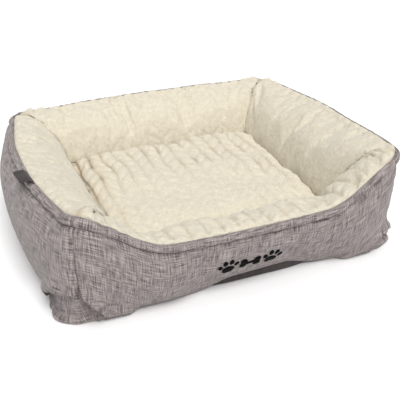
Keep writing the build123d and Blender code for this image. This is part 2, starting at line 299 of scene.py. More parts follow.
def stuffed(piece, held, firm, growth, firm_growth, pressure, cap, frames=20):
    """Runs the cloth of a closed case as it fills, and returns its points, none moved further than the cap."""
    start = np.array([v.co for v in piece.data.vertices], float)
    group = piece.vertex_groups.new(name="sewn")
    if len(held):
        group.add([int(v) for v in held], 1.0, "REPLACE")
    firmer = piece.vertex_groups.new(name="firm")
    if len(firm):
        firmer.add([int(v) for v in firm], 1.0, "REPLACE")
    filling = piece.modifiers.new("filling", "CLOTH")
    filling.settings.quality = 6
    filling.settings.mass = 0.25
    filling.settings.tension_stiffness = 18
    filling.settings.compression_stiffness = 18
    filling.settings.shear_stiffness = 6
    filling.settings.bending_stiffness = 0.6
    filling.settings.use_pressure = True
    filling.settings.uniform_pressure_force = pressure
    filling.settings.vertex_group_shrink = "firm"
    filling.settings.shrink_min = -growth
    filling.settings.shrink_max = -firm_growth
    filling.settings.vertex_group_mass = "sewn"
    filling.settings.effector_weights.gravity = 0
    filling.point_cache.frame_start = 1
    filling.point_cache.frame_end = frames
    for moment in range(1, frames + 1):
        scene.frame_set(moment)
    settled = piece.evaluated_get(bpy.context.evaluated_depsgraph_get())
    moved = np.array([v.co for v in settled.data.vertices], float) - start
    scene.frame_set(1)
    distance = np.linalg.norm(moved, axis=1, keepdims=True)
    return start + moved * np.minimum(1, cap / np.maximum(distance, 1e-9))


def behind_mitres(grid, wall, gap=0.0004):
    """Keeps a wall's cloth on its own side of the two mitred corner seams."""
    plan = turned(grid[..., :2] - well_middle, -wall.turn % 4)
    along, outward = plan[..., 0], -plan[..., 1]
    room = wall.half_length - wall.half_span
    for end in (-1, 1):
        over = np.maximum(end * along - outward - room + 2 * gap, 0)
        along = along - end * over / 2
        outward = outward + over / 2
    plan = turned(np.stack((along, -outward), -1), wall.turn) + well_middle
    return np.concatenate((plan, grid[..., 2:]), -1)


foot_row = outer_rows + under_rows
case_growth = {"front": 0.05, "right": 0.026, "back": 0.042, "left": 0.034}


def bolster_case(wall):
    """A wall's case after stuffing, as the same grid."""
    grid = bolster_start(wall)
    columns, rows = grid.shape[:2]
    sag = ripple(grid * (1, 1, 0.6), 0.16, wall.seed)[..., None]
    middle = grid.mean(1, keepdims=True)
    away = grid - middle
    away /= np.linalg.norm(away, axis=2, keepdims=True)
    grid[1:-1] += (case_sag * sag * away)[1:-1] * (1, 1, 0.5)
    case = tube("case", grid)
    index = np.arange(columns * rows).reshape(columns, rows)
    turned_under = 6 if wall.name == "front" else 1
    held = [index[0], index[-1], index[:, 0], *index[:, outer_rows - turned_under:foot_row + 1].T]
    held = np.unique(np.concatenate([*held, [columns * rows, columns * rows + 1]]))
    points = stuffed(case, held, index[:, :foot_row].ravel(), growth=case_growth[wall.name], firm_growth=0.012,
                     pressure=4.5, cap=0.012)
    bpy.data.objects.remove(case)
    grid = points[:-2].reshape(columns, rows, 3)
    grid[..., 2] = np.maximum(grid[..., 2], case_floor)
    return behind_mitres(grid, wall)


cases = {name: bolster_case(wall) for name, wall in walls.items()}


# ---------------------------------------------------------------- plush lining
# Short-pile cream plush, embossed in plaited ropes that run over the crown and down to the floor of the bed.
# It is sewn to the linen at the rim and forms the closed inner side of each stuffed wall.
rope_pitch = 0.031
leaf_length = 0.036
# Each wall's rope relief height, and how strongly its rope grooves are painted darker as painted shade.
wall_relief = {"front": (0.0056, 0.72), "right": (0.0010, 0.30),
               "back": (0.0030, 0.42), "left": (0.0012, 0.20)}
scallop = {"front": 0.0016, "right": 0.0052, "back": 0.0050, "left": 0.0016}
mitre_crease = {"back_right": 0.0080, "back_left": 0.0025, "front_right": 0.0, "front_left": 0.0}
cushion_contact, contact_ease, contact_top = 0.1885, 0.012, 0.072
foot_zone, plush_floor = 0.150, 0.0034
plush_fine = 3


def finer(grid, parts, axis):
    """The grid with each step cut into parts by a smooth curve through its points."""
    grid = np.moveaxis(grid, axis, 0)
    count = len(grid)
    spots = np.arange((count - 1) * parts + 1) / parts
    padded = np.concatenate((2 * grid[:1] - grid[1:2], grid, 2 * grid[-1:] - grid[-2:-1], grid[-1:]))
    i = np.floor(spots).astype(int)
    t = (spots - i).reshape((-1,) + (1,) * (grid.ndim - 1))
    a, b, c, d = (padded[i + k] for k in range(4))
    smooth = b + 0.5 * t * (c - a + t * (2 * a - 5 * b + 4 * c - d + t * (3 * (b - c) + d - a)))
    return np.moveaxis(smooth, 0, axis)


def refined(grid, parts):
    """The grid cut finer both ways."""
    return finer(finer(grid, parts, 0), parts, 1)


def outward(grid, inside):
    """Unit normals of a grid of points, facing away from the inside points."""
    across = np.gradient(grid, axis=0)
    down = np.gradient(grid, axis=1)
    normal = np.cross(across, down)
    normal /= np.maximum(np.linalg.norm(normal, axis=2, keepdims=True), 1e-12)
    side = np.sum(normal * (grid - inside), axis=2)
    return normal * np.where(side.sum() < 0, -1, 1)


def lengths(grid, axis):
    """Distance from the grid's first line to each point, measured along the cloth."""
    step = np.linalg.norm(np.diff(grid, axis=axis), axis=2)
    zero = np.zeros_like(np.take(step, [0], axis))
    return np.cumsum(np.concatenate((zero, step), axis), axis)


def plait(u, v):
    """Relief of the plaited ropes from 0 in their grooves to 1: u runs across the ropes and v along them."""
    rope = u / rope_pitch
    number = np.floor(rope)
    x = rope - number - 0.5
    slant = np.where(number % 2 < 1, 1.0, -1.0)
    leaf = v / leaf_length + 0.85 * slant * x
    leaf = leaf - np.floor(leaf)
    body = np.sin(pi * leaf) ** 0.6
    flank = np.clip(1 - (2 * np.abs(x)) ** 3, 0, 1) ** 0.8
    return flank * (0.42 + 0.58 * body)


def plush_wall(wall, grid):
    """The closed plush side of a wall, with its embossed ropes."""
    height, tone = wall_relief[wall.name]
    lining = np.concatenate((grid[:, foot_row:], grid[:, :1]), 1)
    fine = refined(lining, plush_fine)
    normal = outward(fine, finer(grid.mean(1, keepdims=True), plush_fine, 0))
    down = lengths(fine[:, ::-1], 1)[:, ::-1]
    along = np.broadcast_to(lengths(fine[:, -1:], 0), down.shape)
    flat = np.stack((along, down), -1)
    relief = plait(along + 0.003 * ripple(flat, 0.12, wall.seed + 1),
                   down + 0.006 * ripple(flat, 0.15, wall.seed + 2))
    ends = np.minimum(along, along[-1:] - along)
    fade = ease(down / 0.010) * ease((down[:, :1] - down) / 0.02) * ease(ends / 0.02)
    worn = 0.8 + 0.3 * ripple(flat, 0.08, wall.seed + 5)
    lumps = ripple(flat * (1, 0.5), 0.035, wall.seed + 6) * 0.0007
    hem = np.exp(-((down - 0.009) / 0.008) ** 2) * (0.4 + 0.6 * np.abs(np.sin(pi * along / rope_pitch)) ** 0.7)
    lift = (height * worn * (relief - 0.45) + lumps) * fade + scallop[wall.name] * hem * ease(ends / 0.03)
    for corner, reach in ((wall.before, along), (wall.after, along[-1:] - along)):
        lift = lift - mitre_crease[corner] * np.exp(-(reach / 0.009) ** 2) * ease(down / 0.03)
    fine = fine + normal * lift[..., None]
    if wall.name == "back":
        pressed = cushion_contact - contact_ease * ease((fine[..., 2] - contact_top) / 0.030)
        fine[..., 1] = np.maximum(fine[..., 1], pressed)
    hidden = finer(grid[:, :foot_row + 1], plush_fine, 0)
    past_x = np.maximum(np.abs(hidden[..., 0]) - base_half[0] + foot_zone, 0)
    past_y = np.maximum(np.abs(hidden[..., 1]) - base_half[1] + foot_zone, 0)
    far = past_x * past_y
    deeper = 0.0025 + 0.009 * ease(far / 0.0009) * ease((0.135 - hidden[..., 2]) / 0.03)
    facing = outward(hidden, finer(grid.mean(1, keepdims=True), plush_fine, 0))
    hidden = (hidden - deeper[..., None] * facing)[:, 1:-1:2]
    both = np.concatenate((fine, hidden), 1)
    both[..., 2] = np.maximum(both[..., 2], plush_floor)
    # Painted shade, kept in the cloth's third value: the rope grooves, the mitred ends, the strip under the
    # rim seam and the lowest part near the floor are painted darker.
    above_floor = down[:, :1] - down
    shade = 0.75 * (1 - ease(ends / 0.024)) + 0.25 * (1 - ease(down / 0.004))
    shade = shade + 0.3 * (1 - ease((above_floor - 0.085) / 0.035))
    tone = 1 - 1.15 * tone * (1 - relief) * fade - shade
    cloth = np.zeros(both.shape)
    cloth[:, :fine.shape[1]] = np.stack((along, down, np.clip(tone, 0, 1)), -1)
    piece = tube(f"plush_bolster_{wall.name}", both, cloth)
    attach(piece, "shell")
    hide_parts(f"plush_liner_{wall.name}", f"bolster_fill_{wall.name}")
    piece.data.materials.append(plush)
    return piece


def socket(group, name, kind, way, value=None):
    """Adds a named input or output to a node group."""
    made = group.interface.new_socket(name=name, in_out=way, socket_type=kind)
    if value is not None:
        made.default_value = value
    return made


class Nodes:
    """Short way to place and link shader nodes in a tree."""

    def __init__(self, tree):
        self.tree = tree

    def feed(self, entry, value):
        """Links a node's output to an input, or sets the input's own value."""
        if isinstance(value, bpy.types.NodeSocket):
            self.tree.links.new(value, entry)
        else:
            entry.default_value = value

    def add(self, kind, values=(), **settings):
        node = self.tree.nodes.new(kind)
        for name, value in settings.items():
            setattr(node, name, value)
        for name, value in dict(values).items():
            self.feed(node.inputs[name], value)
        return node

    def math(self, operation, *values):
        node = self.add("ShaderNodeMath", operation=operation)
        for i, value in enumerate(values):
            self.feed(node.inputs[i], value)
        return node.outputs[0]

    def mix(self, factor, first, second, way="MIX"):
        node = self.add("ShaderNodeMix", data_type="RGBA", blend_type=way)
        for i, value in ((0, factor), (6, first), (7, second)):
            self.feed(node.inputs[i], value)
        return node.outputs[2]


def new_material(name, roughness, sheen=0.0, sheen_roughness=0.5, metallic=0.0):
    """A material with its shader's constant values set, and the helper to add its nodes."""
    material = bpy.data.materials.new(name)
    material.use_nodes = True
    shader = material.node_tree.nodes["Principled BSDF"]
    for entry, value in (("Roughness", roughness), ("Sheen Weight", sheen),
                         ("Sheen Roughness", sheen_roughness), ("Metallic", metallic)):
        shader.inputs[entry].default_value = value
    return material, Nodes(material.node_tree), shader


def speckled(nodes, shader, dark, light, **noise):
    """Colours a material between two tones by noise that is fixed to the object, and returns the noise."""
    place = nodes.add("ShaderNodeTexCoord").outputs["Object"]
    grain = nodes.add("ShaderNodeTexNoise", {"Vector": place, **noise}).outputs["Fac"]
    nodes.feed(shader.inputs["Base Color"], nodes.mix(grain, dark, light))
    return grain


def raised(nodes, shader, height, strength, distance):
    """Gives a material fine relief that follows a height."""
    bump = nodes.add("ShaderNodeBump", {"Height": height, "Strength": strength, "Distance": distance})
    nodes.feed(shader.inputs["Normal"], bump.outputs["Normal"])


# Pile: fine tufts that lie in clumps. Its tufts are finer than the relief, and the plush is painted darker and
# warmer in its hollows, creases and corners as painted shade.
pile = bpy.data.node_groups.new("pile", "ShaderNodeTree")
socket(pile, "Place", "NodeSocketVector", "INPUT")
socket(pile, "Tuft Scale", "NodeSocketFloat", "INPUT", 380.0)
socket(pile, "Tuft", "NodeSocketFloat", "OUTPUT")
socket(pile, "Clump", "NodeSocketFloat", "OUTPUT")
pile_nodes = Nodes(pile)
pile_in = pile_nodes.add("NodeGroupInput")
pile_out = pile_nodes.add("NodeGroupOutput")
tuft = pile_nodes.add("ShaderNodeTexNoise", {"Vector": pile_in.outputs["Place"],
                                             "Scale": pile_in.outputs["Tuft Scale"],
                                             "Detail": 3.0, "Roughness": 0.7})
clump = pile_nodes.add("ShaderNodeTexNoise", {"Vector": pile_in.outputs["Place"], "Scale": 120.0,
                                              "Detail": 4.0, "Roughness": 0.65, "Distortion": 0.8})
pile.links.new(tuft.outputs["Fac"], pile_out.inputs["Tuft"])
pile.links.new(clump.outputs["Fac"], pile_out.inputs["Clump"])

# The crest colour is the plush's own. The two darker, warmer colours after it are painted shade for the rope
# grooves, creases and corners.
plush_light = (0.650, 0.597, 0.480, 1)
plush_half_shade = (0.565, 0.482, 0.345, 1)
plush_deep_shade = (0.300, 0.210, 0.118, 1)
plush, nodes, shader = new_material("cream_plush", 0.95, sheen=0.35, sheen_roughness=0.45)
lie = nodes.add("ShaderNodeAttribute", attribute_name="cloth")
painted_light_level = nodes.add("ShaderNodeSeparateXYZ", {"Vector": lie.outputs["Vector"]}).outputs["Z"]
place_of = nodes.add("ShaderNodeTexCoord").outputs["Object"]
tufts = nodes.add("ShaderNodeGroup", node_tree=pile)
nodes.feed(tufts.inputs["Place"], place_of)
# The cloth's third value is the painted light level: low where shade is painted in grooves, creases and
# corners.
lift = nodes.math("POWER", nodes.math("MAXIMUM", painted_light_level, 0.0), 0.6)
hollow_shade = nodes.mix(lift, plush_deep_shade, plush_half_shade)
crest = nodes.mix(nodes.math("MULTIPLY", lift, 1.25), hollow_shade, plush_light)
mottle = nodes.math("ADD", 0.74, nodes.math("MULTIPLY", tufts.outputs["Clump"], 0.50))
nodes.feed(shader.inputs["Base Color"], nodes.mix(1.0, crest, mottle, "MULTIPLY"))
depth = nodes.math("ADD", nodes.math("MULTIPLY", tufts.outputs["Tuft"], 0.35), tufts.outputs["Clump"])
raised(nodes, shader, depth, 0.75, 0.0028)

plush_walls = {name: plush_wall(wall, cases[name]) for name, wall in walls.items()}


# ---------------------------------------------------------------- outer panels
# Grey linen-look cloth: a plain weave of uneven light and dark threads with slubs both ways.
# One panel covers the outside of each wall; the boxed bottom corners are pieces of their own.
panel_thickness = 0.0018
panel_stand = 0.0014
linen_floor = 0.0024
panel_fine = 2
seam_groove = 0.0046
foot_reach = 0.125
foot_height = {"front_left": 0.090, "front_right": 0.046, "back_right": 0.046, "back_left": 0.050}
roll_height = 0.015
overhang = 0.0085


def slab(name, face, back, cloth):
    """A thin closed sheet between two grids of points, edges included."""
    columns, rows = face.shape[:2]
    count = columns * rows
    front = quads(columns, rows)
    rim = np.concatenate((np.arange(rows), np.arange(2, columns + 1) * rows - 1,
                          np.arange(count - 2, count - rows - 1, -1), np.arange(columns - 2, 0, -1) * rows))
    edge = [(a, b, b + count, a + count) for a, b in zip(rim, np.roll(rim, -1))]
    points = np.concatenate((face.reshape(-1, 3), back.reshape(-1, 3)))
    faces = [*front, *(front[:, ::-1] + count), *edge]
    return make_piece(name, points, faces, np.concatenate((cloth.reshape(-1, 3),) * 2))


def one_side(piece):
    """Area of one face of a thin closed sheet."""
    return sum(face.area for face in piece.data.polygons) / 2


def declare_cloth(piece, cloth):
    """Works out a sheet's size from its points on the flat cloth and its area from the finished piece; the
    result is not used.
    """
    size = [float(np.ptp(cloth[..., k])) * 1.01 for k in range(2)]
    share = min(0.99, one_side(piece) / (size[0] * size[1]))


def panel_face(wall):
    """The outer face of a wall's linen, its normals, and where it lies on the flat cloth."""
    grid = cases[wall.name]
    face = refined(grid[:, :outer_rows], panel_fine)
    normal = outward(face, finer(grid.mean(1, keepdims=True), panel_fine, 0))
    down = lengths(face, 1)
    along = np.broadcast_to(lengths(face[:, :1], 0), down.shape)
    ends = np.minimum(along, along[-1:] - along)
    sink = seam_groove * np.exp(-((down - band_width - 0.0008) / 0.0026) ** 2)
    sink = sink + 0.0008 * np.exp(-(ends / 0.006) ** 2)
    face = face + normal * (panel_stand + panel_thickness - sink)[..., None]
    cloth = np.stack((along + 0.37 * wall.seed, down, np.zeros_like(down)), -1)
    return behind_mitres(face, wall, 0.0001), normal, cloth


band_width = 0.016
faces_of_panels = {name: panel_face(wall) for name, wall in walls.items()}


def cut_below(wall):
    """Height below which a wall's linen gives way to the boxed feet, for each column."""
    along = faces_of_panels[wall.name][2][:, 0, 0]
    floors = np.zeros_like(along)
    for ends, corner in ((along - along[0], wall.before), (along[-1] - along, wall.after)):
        top = foot_height[corner]
        if wall.turn % 2:
            steps, levels = (0, 0.050, 0.095, foot_reach), (top, 0.70 * top, 0.48 * top, 0)
        else:
            steps = (0, 0.024, 0.040, 0.080, foot_reach)
            levels = (top, 0.55 * top, roll_height + 0.004, roll_height, 0)
        floors += np.interp(ends, steps, levels)
    return floors


def linen_panel(wall):
    """One outer panel, its bottom edge cut round the feet and standing a little over them."""
    face, normal, cloth = faces_of_panels[wall.name]
    rows = face.shape[1]
    lying = np.concatenate((face, normal, cloth), -1)
    trimmed = np.empty_like(lying)
    floors = cut_below(wall)
    for column, floor in enumerate(floors):
        level, run = lying[column, :, 2], lying[column, :, 7]
        crest = int(np.argmax(level))
        stop = np.interp(-floor, -level[crest:], run[crest:]) if floor > level[-1] else run[-1]
        trimmed[column] = along_line(np.linspace(0, stop, rows), run, lying[column])
    face, normal, cloth = trimmed[..., :3], trimmed[..., 3:6], trimmed[..., 6:]
    above = cloth[:, -1:, 1] - cloth[..., 1]
    ends = np.minimum(cloth[:, :1, 0] - cloth[:1, :1, 0], cloth[-1:, :1, 0] - cloth[:, :1, 0])
    near_foot = ease(floors / 0.01)[:, None]
    stand = overhang * near_foot * np.exp(-(above / 0.014) ** 2) * ease(ends / 0.008 + 0.2)
    face = face + normal * stand[..., None]
    face[..., 2] = np.maximum(face[..., 2], linen_floor)
    name = f"outer_panel_{wall.name}"
    piece = slab(name, face, face - normal * panel_thickness, cloth)
    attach(piece, "shell")
    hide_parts(name)
    declare_cloth(piece, cloth)
    piece.data.materials.append(linen)


# Linen weave: each thread has its own tone, which drifts along it, and some swell into slubs.
weave = bpy.data.node_groups.new("linen_weave", "ShaderNodeTree")
socket(weave, "Lie", "NodeSocketVector", "INPUT")
socket(weave, "Thread Pitch", "NodeSocketFloat", "INPUT", 0.0012)
socket(weave, "Slub Length", "NodeSocketFloat", "INPUT", 0.030)
socket(weave, "Tone", "NodeSocketFloat", "OUTPUT")
socket(weave, "Height", "NodeSocketFloat", "OUTPUT")
w = Nodes(weave)
w_in = w.add("NodeGroupInput")
w_out = w.add("NodeGroupOutput")
parts = w.add("ShaderNodeSeparateXYZ", {"Vector": w_in.outputs["Lie"]})


def thread(across, along, seed):
    """Tone and roundness of the threads that run one way."""
    lane = w.math("DIVIDE", across, w_in.outputs["Thread Pitch"])
    run = w.math("DIVIDE", along, w_in.outputs["Slub Length"])
    streak = w.add("ShaderNodeCombineXYZ", {"X": w.math("MULTIPLY", lane, 0.74), "Y": run, "Z": seed})
    slub = w.add("ShaderNodeTexNoise", {"Vector": streak.outputs[0], "Scale": 1.0, "Detail": 1.5,
                                        "Roughness": 0.75})
    rounded = w.math("SINE", w.math("MULTIPLY", w.math("FRACT", lane), pi))
    return slub.outputs["Fac"], rounded, w.math("FLOOR", lane)


warp_tone, warp_round, warp_number = thread(parts.outputs["X"], parts.outputs["Y"], 1.0)
weft_tone, weft_round, weft_number = thread(parts.outputs["Y"], parts.outputs["X"], 5.0)
over = w.math("FLOORED_MODULO", w.math("ADD", warp_number, weft_number), 2.0)
tone = w.math("ADD", w.math("MULTIPLY", warp_tone, over),
              w.math("MULTIPLY", weft_tone, w.math("SUBTRACT", 1.0, over)))
both_tones = w.math("MULTIPLY", w.math("ADD", warp_tone, weft_tone), 0.5)
blend = w.math("ADD", w.math("MULTIPLY", tone, 0.42), w.math("MULTIPLY", both_tones, 0.58))
weave.links.new(blend, w_out.inputs["Tone"])
crossing = w.math("ADD", w.math("MULTIPLY", warp_round, over),
                  w.math("MULTIPLY", weft_round, w.math("SUBTRACT", 1.0, over)))
weave.links.new(w.math("ADD", crossing, w.math("MULTIPLY", both_tones, 1.2)), w_out.inputs["Height"])


def woven(name, dark, light, contrast, pitch, slub, roughness=0.9, sheen=0.15):
    """A woven cloth material: thread tones between a dark and a light yarn."""
    material, nodes, shader = new_material(name, roughness, sheen=sheen)
    lie = nodes.add("ShaderNodeAttribute", attribute_name="cloth")
    threads = nodes.add("ShaderNodeGroup", node_tree=weave)
    threads.inputs["Thread Pitch"].default_value = pitch
    threads.inputs["Slub Length"].default_value = slub
    nodes.feed(threads.inputs["Lie"], lie.outputs["Vector"])
    spread = nodes.add("ShaderNodeMapRange", {"Value": threads.outputs["Tone"],
                                              "From Min": 0.5 - 0.5 / contrast,
                                              "From Max": 0.5 + 0.5 / contrast})
    nodes.feed(shader.inputs["Base Color"], nodes.mix(spread.outputs[0], dark, light))
    raised(nodes, shader, threads.outputs["Height"], 0.35, 0.0009)
    return material


linen = woven("grey_linen", (0.068, 0.056, 0.054, 1), (0.425, 0.366, 0.352, 1), contrast=4.4, pitch=0.0013,
              slub=0.032)
for wall in walls.values():
    linen_panel(wall)


# ---------------------------------------------------------------- rim band
# A strip of the same linen, folded round the rim seam and topstitched along its lower edge.
band_rise = 0.0052
band_rows = 11
band_plump = {"front": 1.0, "left": 1.0, "right": 0.30, "back": 0.30}
corner_plump = {"front_left": 1.0, "front_right": 0.95, "back_right": 0.35, "back_left": 0.6}


def down_panel(wall, distance):
    """Points and normals of a panel's face at a distance below the rim seam, all along the wall."""
    grid, normal, cloth = faces_of_panels[wall.name]
    spot, facing = (np.stack([along_line(distance, cloth[column, :, 1], part[column])
                              for column in range(len(grid))]) for part in (grid, normal))
    return spot, facing / np.linalg.norm(facing, axis=1, keepdims=True)


def rim_band(wall):
    """The folded band of one wall: a flat-backed roll that follows the rim."""
    run = lengths(faces_of_panels[wall.name][0][:, :1], 0)
    rows, lies = [], []
    first, last = (ease(1 - reach / 0.10)[:, 0] for reach in (run, run[-1:] - run))
    own = band_plump[wall.name]
    plump = own + (corner_plump[wall.before] - own) * first + (corner_plump[wall.after] - own) * last
    for share in np.linspace(0, 1, band_rows):
        spot, facing = down_panel(wall, band_width * share)
        puff = band_rise * np.sin(pi * (0.06 + 0.90 * share)) ** 0.45
        place = np.concatenate((run, np.full_like(run, share * 0.01)), 1)
        pucker = 1 + 0.14 * ripple(place, 0.030, wall.seed + 31)
        rows.append(spot + facing * (0.0004 + puff * plump * pucker)[:, None])
        lies.append(band_width * share)
    for share in (1, 0.5, 0):
        spot, facing = down_panel(wall, band_width * share)
        rows.append(spot + facing * 0.0002)
        lies.append(band_width * share)
    grid = behind_mitres(np.stack(rows, 1), wall)
    across = np.broadcast_to(np.array(lies), grid.shape[:2])
    along = np.broadcast_to(run, grid.shape[:2])
    cloth = np.stack((along, across, np.full_like(across, wall.seed * 0.13)), -1)
    piece = tube(f"rim_band_{wall.name}", grid, cloth)
    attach(piece, "shell")
    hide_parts(f"rim_band_{wall.name}")
    piece.data.materials.append(linen)


for wall in walls.values():
    rim_band(wall)


# ---------------------------------------------------------------- boxed feet
# Each bottom corner of the linen is folded in and boxed, so the wall above hangs a little over it.
# Its lower edge is rolled under into a soft cord where it is sewn to the base cloth.
roll_bulge, foot_tuck, foot_recess = 0.0075, 0.0070, 0.0085


def foot_side(wall, at_start, top):
    """The part of a wall's face over one foot, from its outer end towards the mitre."""
    face, normal, cloth = faces_of_panels[wall.name]
    reach = cloth[:, 0, 0] - cloth[0, 0, 0]
    if not at_start:
        reach = reach[-1] - reach
    chosen = np.nonzero(reach < foot_reach + 0.004)[0]
    if at_start:
        chosen = chosen[::-1]
    points = []
    heights = np.concatenate((np.linspace(top + 0.006, roll_height, 14),
                              np.linspace(roll_height, 0.001, 6)[1:]))
    for column in chosen:
        level = face[column, :, 2]
        crest = int(np.argmax(level))
        spots = np.interp(-heights, -level[crest:], cloth[column, crest:, 1])
        lie = np.concatenate((face[column], normal[column]), 1)
        points.append(along_line(spots, cloth[column, :, 1], lie))
    return np.array(points), reach[chosen]


def corner_foot(first, second, name):
    """A boxed foot that turns the corner from the end of one wall to the start of the next."""
    top = foot_height[name]
    one, reach_one = foot_side(first, False, top)
    two, reach_two = foot_side(second, True, top)
    both = np.concatenate((one, two[::-1]))
    reach = np.concatenate((-reach_one, reach_two[::-1]))
    face, normal = both[..., :3], both[..., 3:]
    for _ in range(6):
        face[1:-1] = (face[:-2] + 2 * face[1:-1] + face[2:]) / 4
        normal[1:-1] = (normal[:-2] + 2 * normal[1:-1] + normal[2:]) / 4
    normal /= np.linalg.norm(normal, axis=2, keepdims=True)
    level = face[..., 2]
    ends = (np.abs(reach) / foot_reach)[:, None]
    roll = roll_bulge * np.exp(-((level - 0.007) / 0.0055) ** 2) * (1 - ease((ends - 0.7) / 0.3))
    crease = 0.0024 * np.exp(-((level - roll_height - 0.002) / 0.0022) ** 2)
    block = 0.0018 * np.sin(pi * np.clip((level - roll_height) / (top - roll_height), 0, 1))
    tuck = foot_tuck * np.exp(-(reach[:, None] / 0.007) ** 2) * ease((level - 0.016) / 0.02)
    rumple = 0.0009 * ripple(np.stack(np.broadcast_arrays(reach[:, None], level), -1), 0.02, first.seed + 50)
    recess = foot_recess * ease((level - 0.010) / 0.010)
    face = face + normal * (roll + block - crease - tuck + rumple - recess)[..., None]
    under = face[:, -1:] * (1, 1, 0) + np.array((0, 0, 0.0006)) - normal[:, -1:] * (1, 1, 0) * 0.010
    face = np.concatenate((face, under), 1)
    normal = np.concatenate((normal, np.broadcast_to((0.0, 0.0, -1.0), under.shape)), 1)
    back = face - normal * 0.0012
    face[..., 2] = np.maximum(face[..., 2], 0.0004)
    back[..., 2] = np.maximum(back[..., 2], 0.0007)
    down = lengths(face, 1)
    along = np.broadcast_to(reach[:, None], down.shape)
    cloth = np.stack((along + 5 + first.seed * 0.2, down + 0.3, np.zeros_like(down)), -1)
    piece = slab(f"corner_foot_{name}", face, back, cloth)
    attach(piece, "shell")
    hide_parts(f"corner_foot_{name}")
    declare_cloth(piece, cloth)
    piece.data.materials.append(linen)


for first, second, name in (("left", "front", "front_left"), ("front", "right", "front_right"),
                            ("right", "back", "back_right"), ("back", "left", "back_left")):
    corner_foot(walls[first], walls[second], name)


# ---------------------------------------------------------------- base and floor
# Dark brown non-slip cloth under the bed, turned up under the lifted front edge and seamed to the linen.
# Above it lie a thin layer of wadding and a plain lining, seen only when the cushion is lifted out.
base_thickness = 0.0022


def base_cloth_piece():
    """The base cloth: flat under the bed, with its front edge turned up behind the linen."""
    across = np.linspace(-1, 1, 141)
    deep = np.concatenate((np.linspace(-1, -0.93, 13), np.linspace(-0.93, 1, 71)[1:]))
    u, v = np.meshgrid(across, deep, indexing="ij")
    round_ = base_corner / base_half
    x = u * (1 - round_[0] * 0.3 * np.abs(v) ** 12) * (base_half[0] - 0.003)
    y = v * (1 - round_[1] * 0.3 * np.abs(u) ** 12) * (base_half[1] - 0.003)
    tuck = tuck_at(x) * (1 - ease((np.abs(x) - 0.28) / 0.05))
    near = np.clip((-v - 0.90) / 0.10, 0, 1)
    y = y + (tuck - 0.003) * near
    rise = ease(1.6 * (1 - np.abs(x - reveal_middle) / (reveal_half + 0.01)))
    turn_up = np.clip((-v - 0.945) / 0.055, 0, 1)
    lift = (base_reveal + 0.0012) * rise * np.clip((turn_up - 0.3) / 0.7, 0, 1)
    standing = -0.945 * (base_half[1] - 0.003) - (0.055 * base_half[1] + 0.001) * ease(turn_up / 0.4)
    y = np.where(turn_up > 0, y + (standing - y) * rise, y)
    wave = 0.0004 * ripple(np.stack((x, y), -1), 0.09, 77)
    face = np.stack((x, y, 0.0006 + np.abs(wave) + lift), -1)
    back = face.copy()
    back[..., 1] += base_thickness * turn_up * rise
    back[..., 2] += base_thickness * (1 - 0.9 * turn_up * rise)
    cloth = np.stack((x, y, np.zeros_like(x)), -1)
    piece = slab("base_cloth", face, back, cloth)
    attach(piece, "shell")
    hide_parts("base_panel")
    declare_cloth(piece, cloth)
    return piece


brown = woven("brown_base_cloth", (0.026, 0.020, 0.019, 1), (0.066, 0.053, 0.049, 1), contrast=2.0,
              pitch=0.0011, slub=0.012, roughness=0.85, sheen=0.1)
base_cloth_piece().data.materials.append(brown)


def floor_sheet(name, level, thickness, inset, quilting, seed):
    """A flat layer over the floor of the well, softly quilted."""
    x, y = np.meshgrid(np.linspace(-1, 1, 61) * (well_half[0] - inset),
                       np.linspace(-1, 1, 53) * (well_half[1] - inset), indexing="ij")
    middle = np.stack((x, y), -1) + well_middle
    pad = quilting * np.abs(np.sin(pi * (x + y) / 0.07) * np.sin(pi * (x - y) / 0.07)) ** 0.5
    top = np.concatenate((middle, (level + thickness - quilting + pad)[..., None]), -1)
    bottom = np.concatenate((middle, np.full_like(x, level)[..., None]), -1)
    cloth = np.stack((x + seed, y, np.full_like(x, 0.6)), -1)
    piece = slab(name, top, bottom, cloth)
    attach(piece, "shell")
    return piece, cloth


lining, lining_cloth = floor_sheet("floor_lining_sheet", well_low.z, well_high.z - well_low.z,
                                   0.002, 0.0008, 3)
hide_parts("floor_lining")
declare_cloth(lining, lining_cloth)
cotton = woven("floor_lining_cloth", (0.48, 0.44, 0.37, 1), (0.68, 0.63, 0.53, 1), contrast=1.6,
               pitch=0.0009, slub=0.010)
lining.data.materials.append(cotton)
wad_low, wad_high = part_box("base_wadding")
wadding, _ = floor_sheet("base_wadding_layer", wad_low.z, wad_high.z - wad_low.z, 0.003, 0.0010, 7)
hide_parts("base_wadding")
fibre, nodes, shader = new_material("fibre_filling", 1.0, sheen=0.2)
fluff = speckled(nodes, shader, (0.62, 0.61, 0.58, 1), (0.80, 0.79, 0.77, 1),
                 Scale=260.0, Detail=6.0, Roughness=0.8)
raised(nodes, shader, fluff, 0.5, 0.002)
wadding.data.materials.append(fibre)


# ---------------------------------------------------------------- loose cushion
# A removable cushion: a plush top cover sewn at mid height to a plain under cover, and stuffed full.
# Its ropes run front to back. Use has flattened the middle and front; the back and right edges stand full.
top_low, top_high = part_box("cushion_top_cover")
under_low, under_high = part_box("cushion_bottom_cover")
cushion_half = np.array((top_high.x - top_low.x, top_high.y - top_low.y)) / 2
seam_level = under_high.z
under_inset = 0.022
cushion_relief = 0.0100
cushion_across, cushion_deep = 61, 53
body_gap, rope_gap = 0.0040, 0.0016
cushion_fine = 4


def pillow_side(share, top, swell, steps=200):
    """How far out and how high a cushion's cover is, at a share of the cloth from its middle to its seam."""
    t = np.linspace(0, 1, steps)
    edge = 1 - under_inset / cushion_half[0]
    out = 3 * t * (1 - t) ** 2 * 0.72 + 3 * t * t * (1 - t) * swell + t ** 3 * edge
    high = (1 - t) ** 3 + 3 * t * (1 - t) ** 2 + 3 * t * t * (1 - t) * top
    run = np.concatenate(([0], np.cumsum(np.hypot(np.diff(out), 0.2 * np.diff(high)))))
    place = np.abs(share) * run[-1]
    return np.sign(share) * np.interp(place, run, out), np.interp(place, run, high)


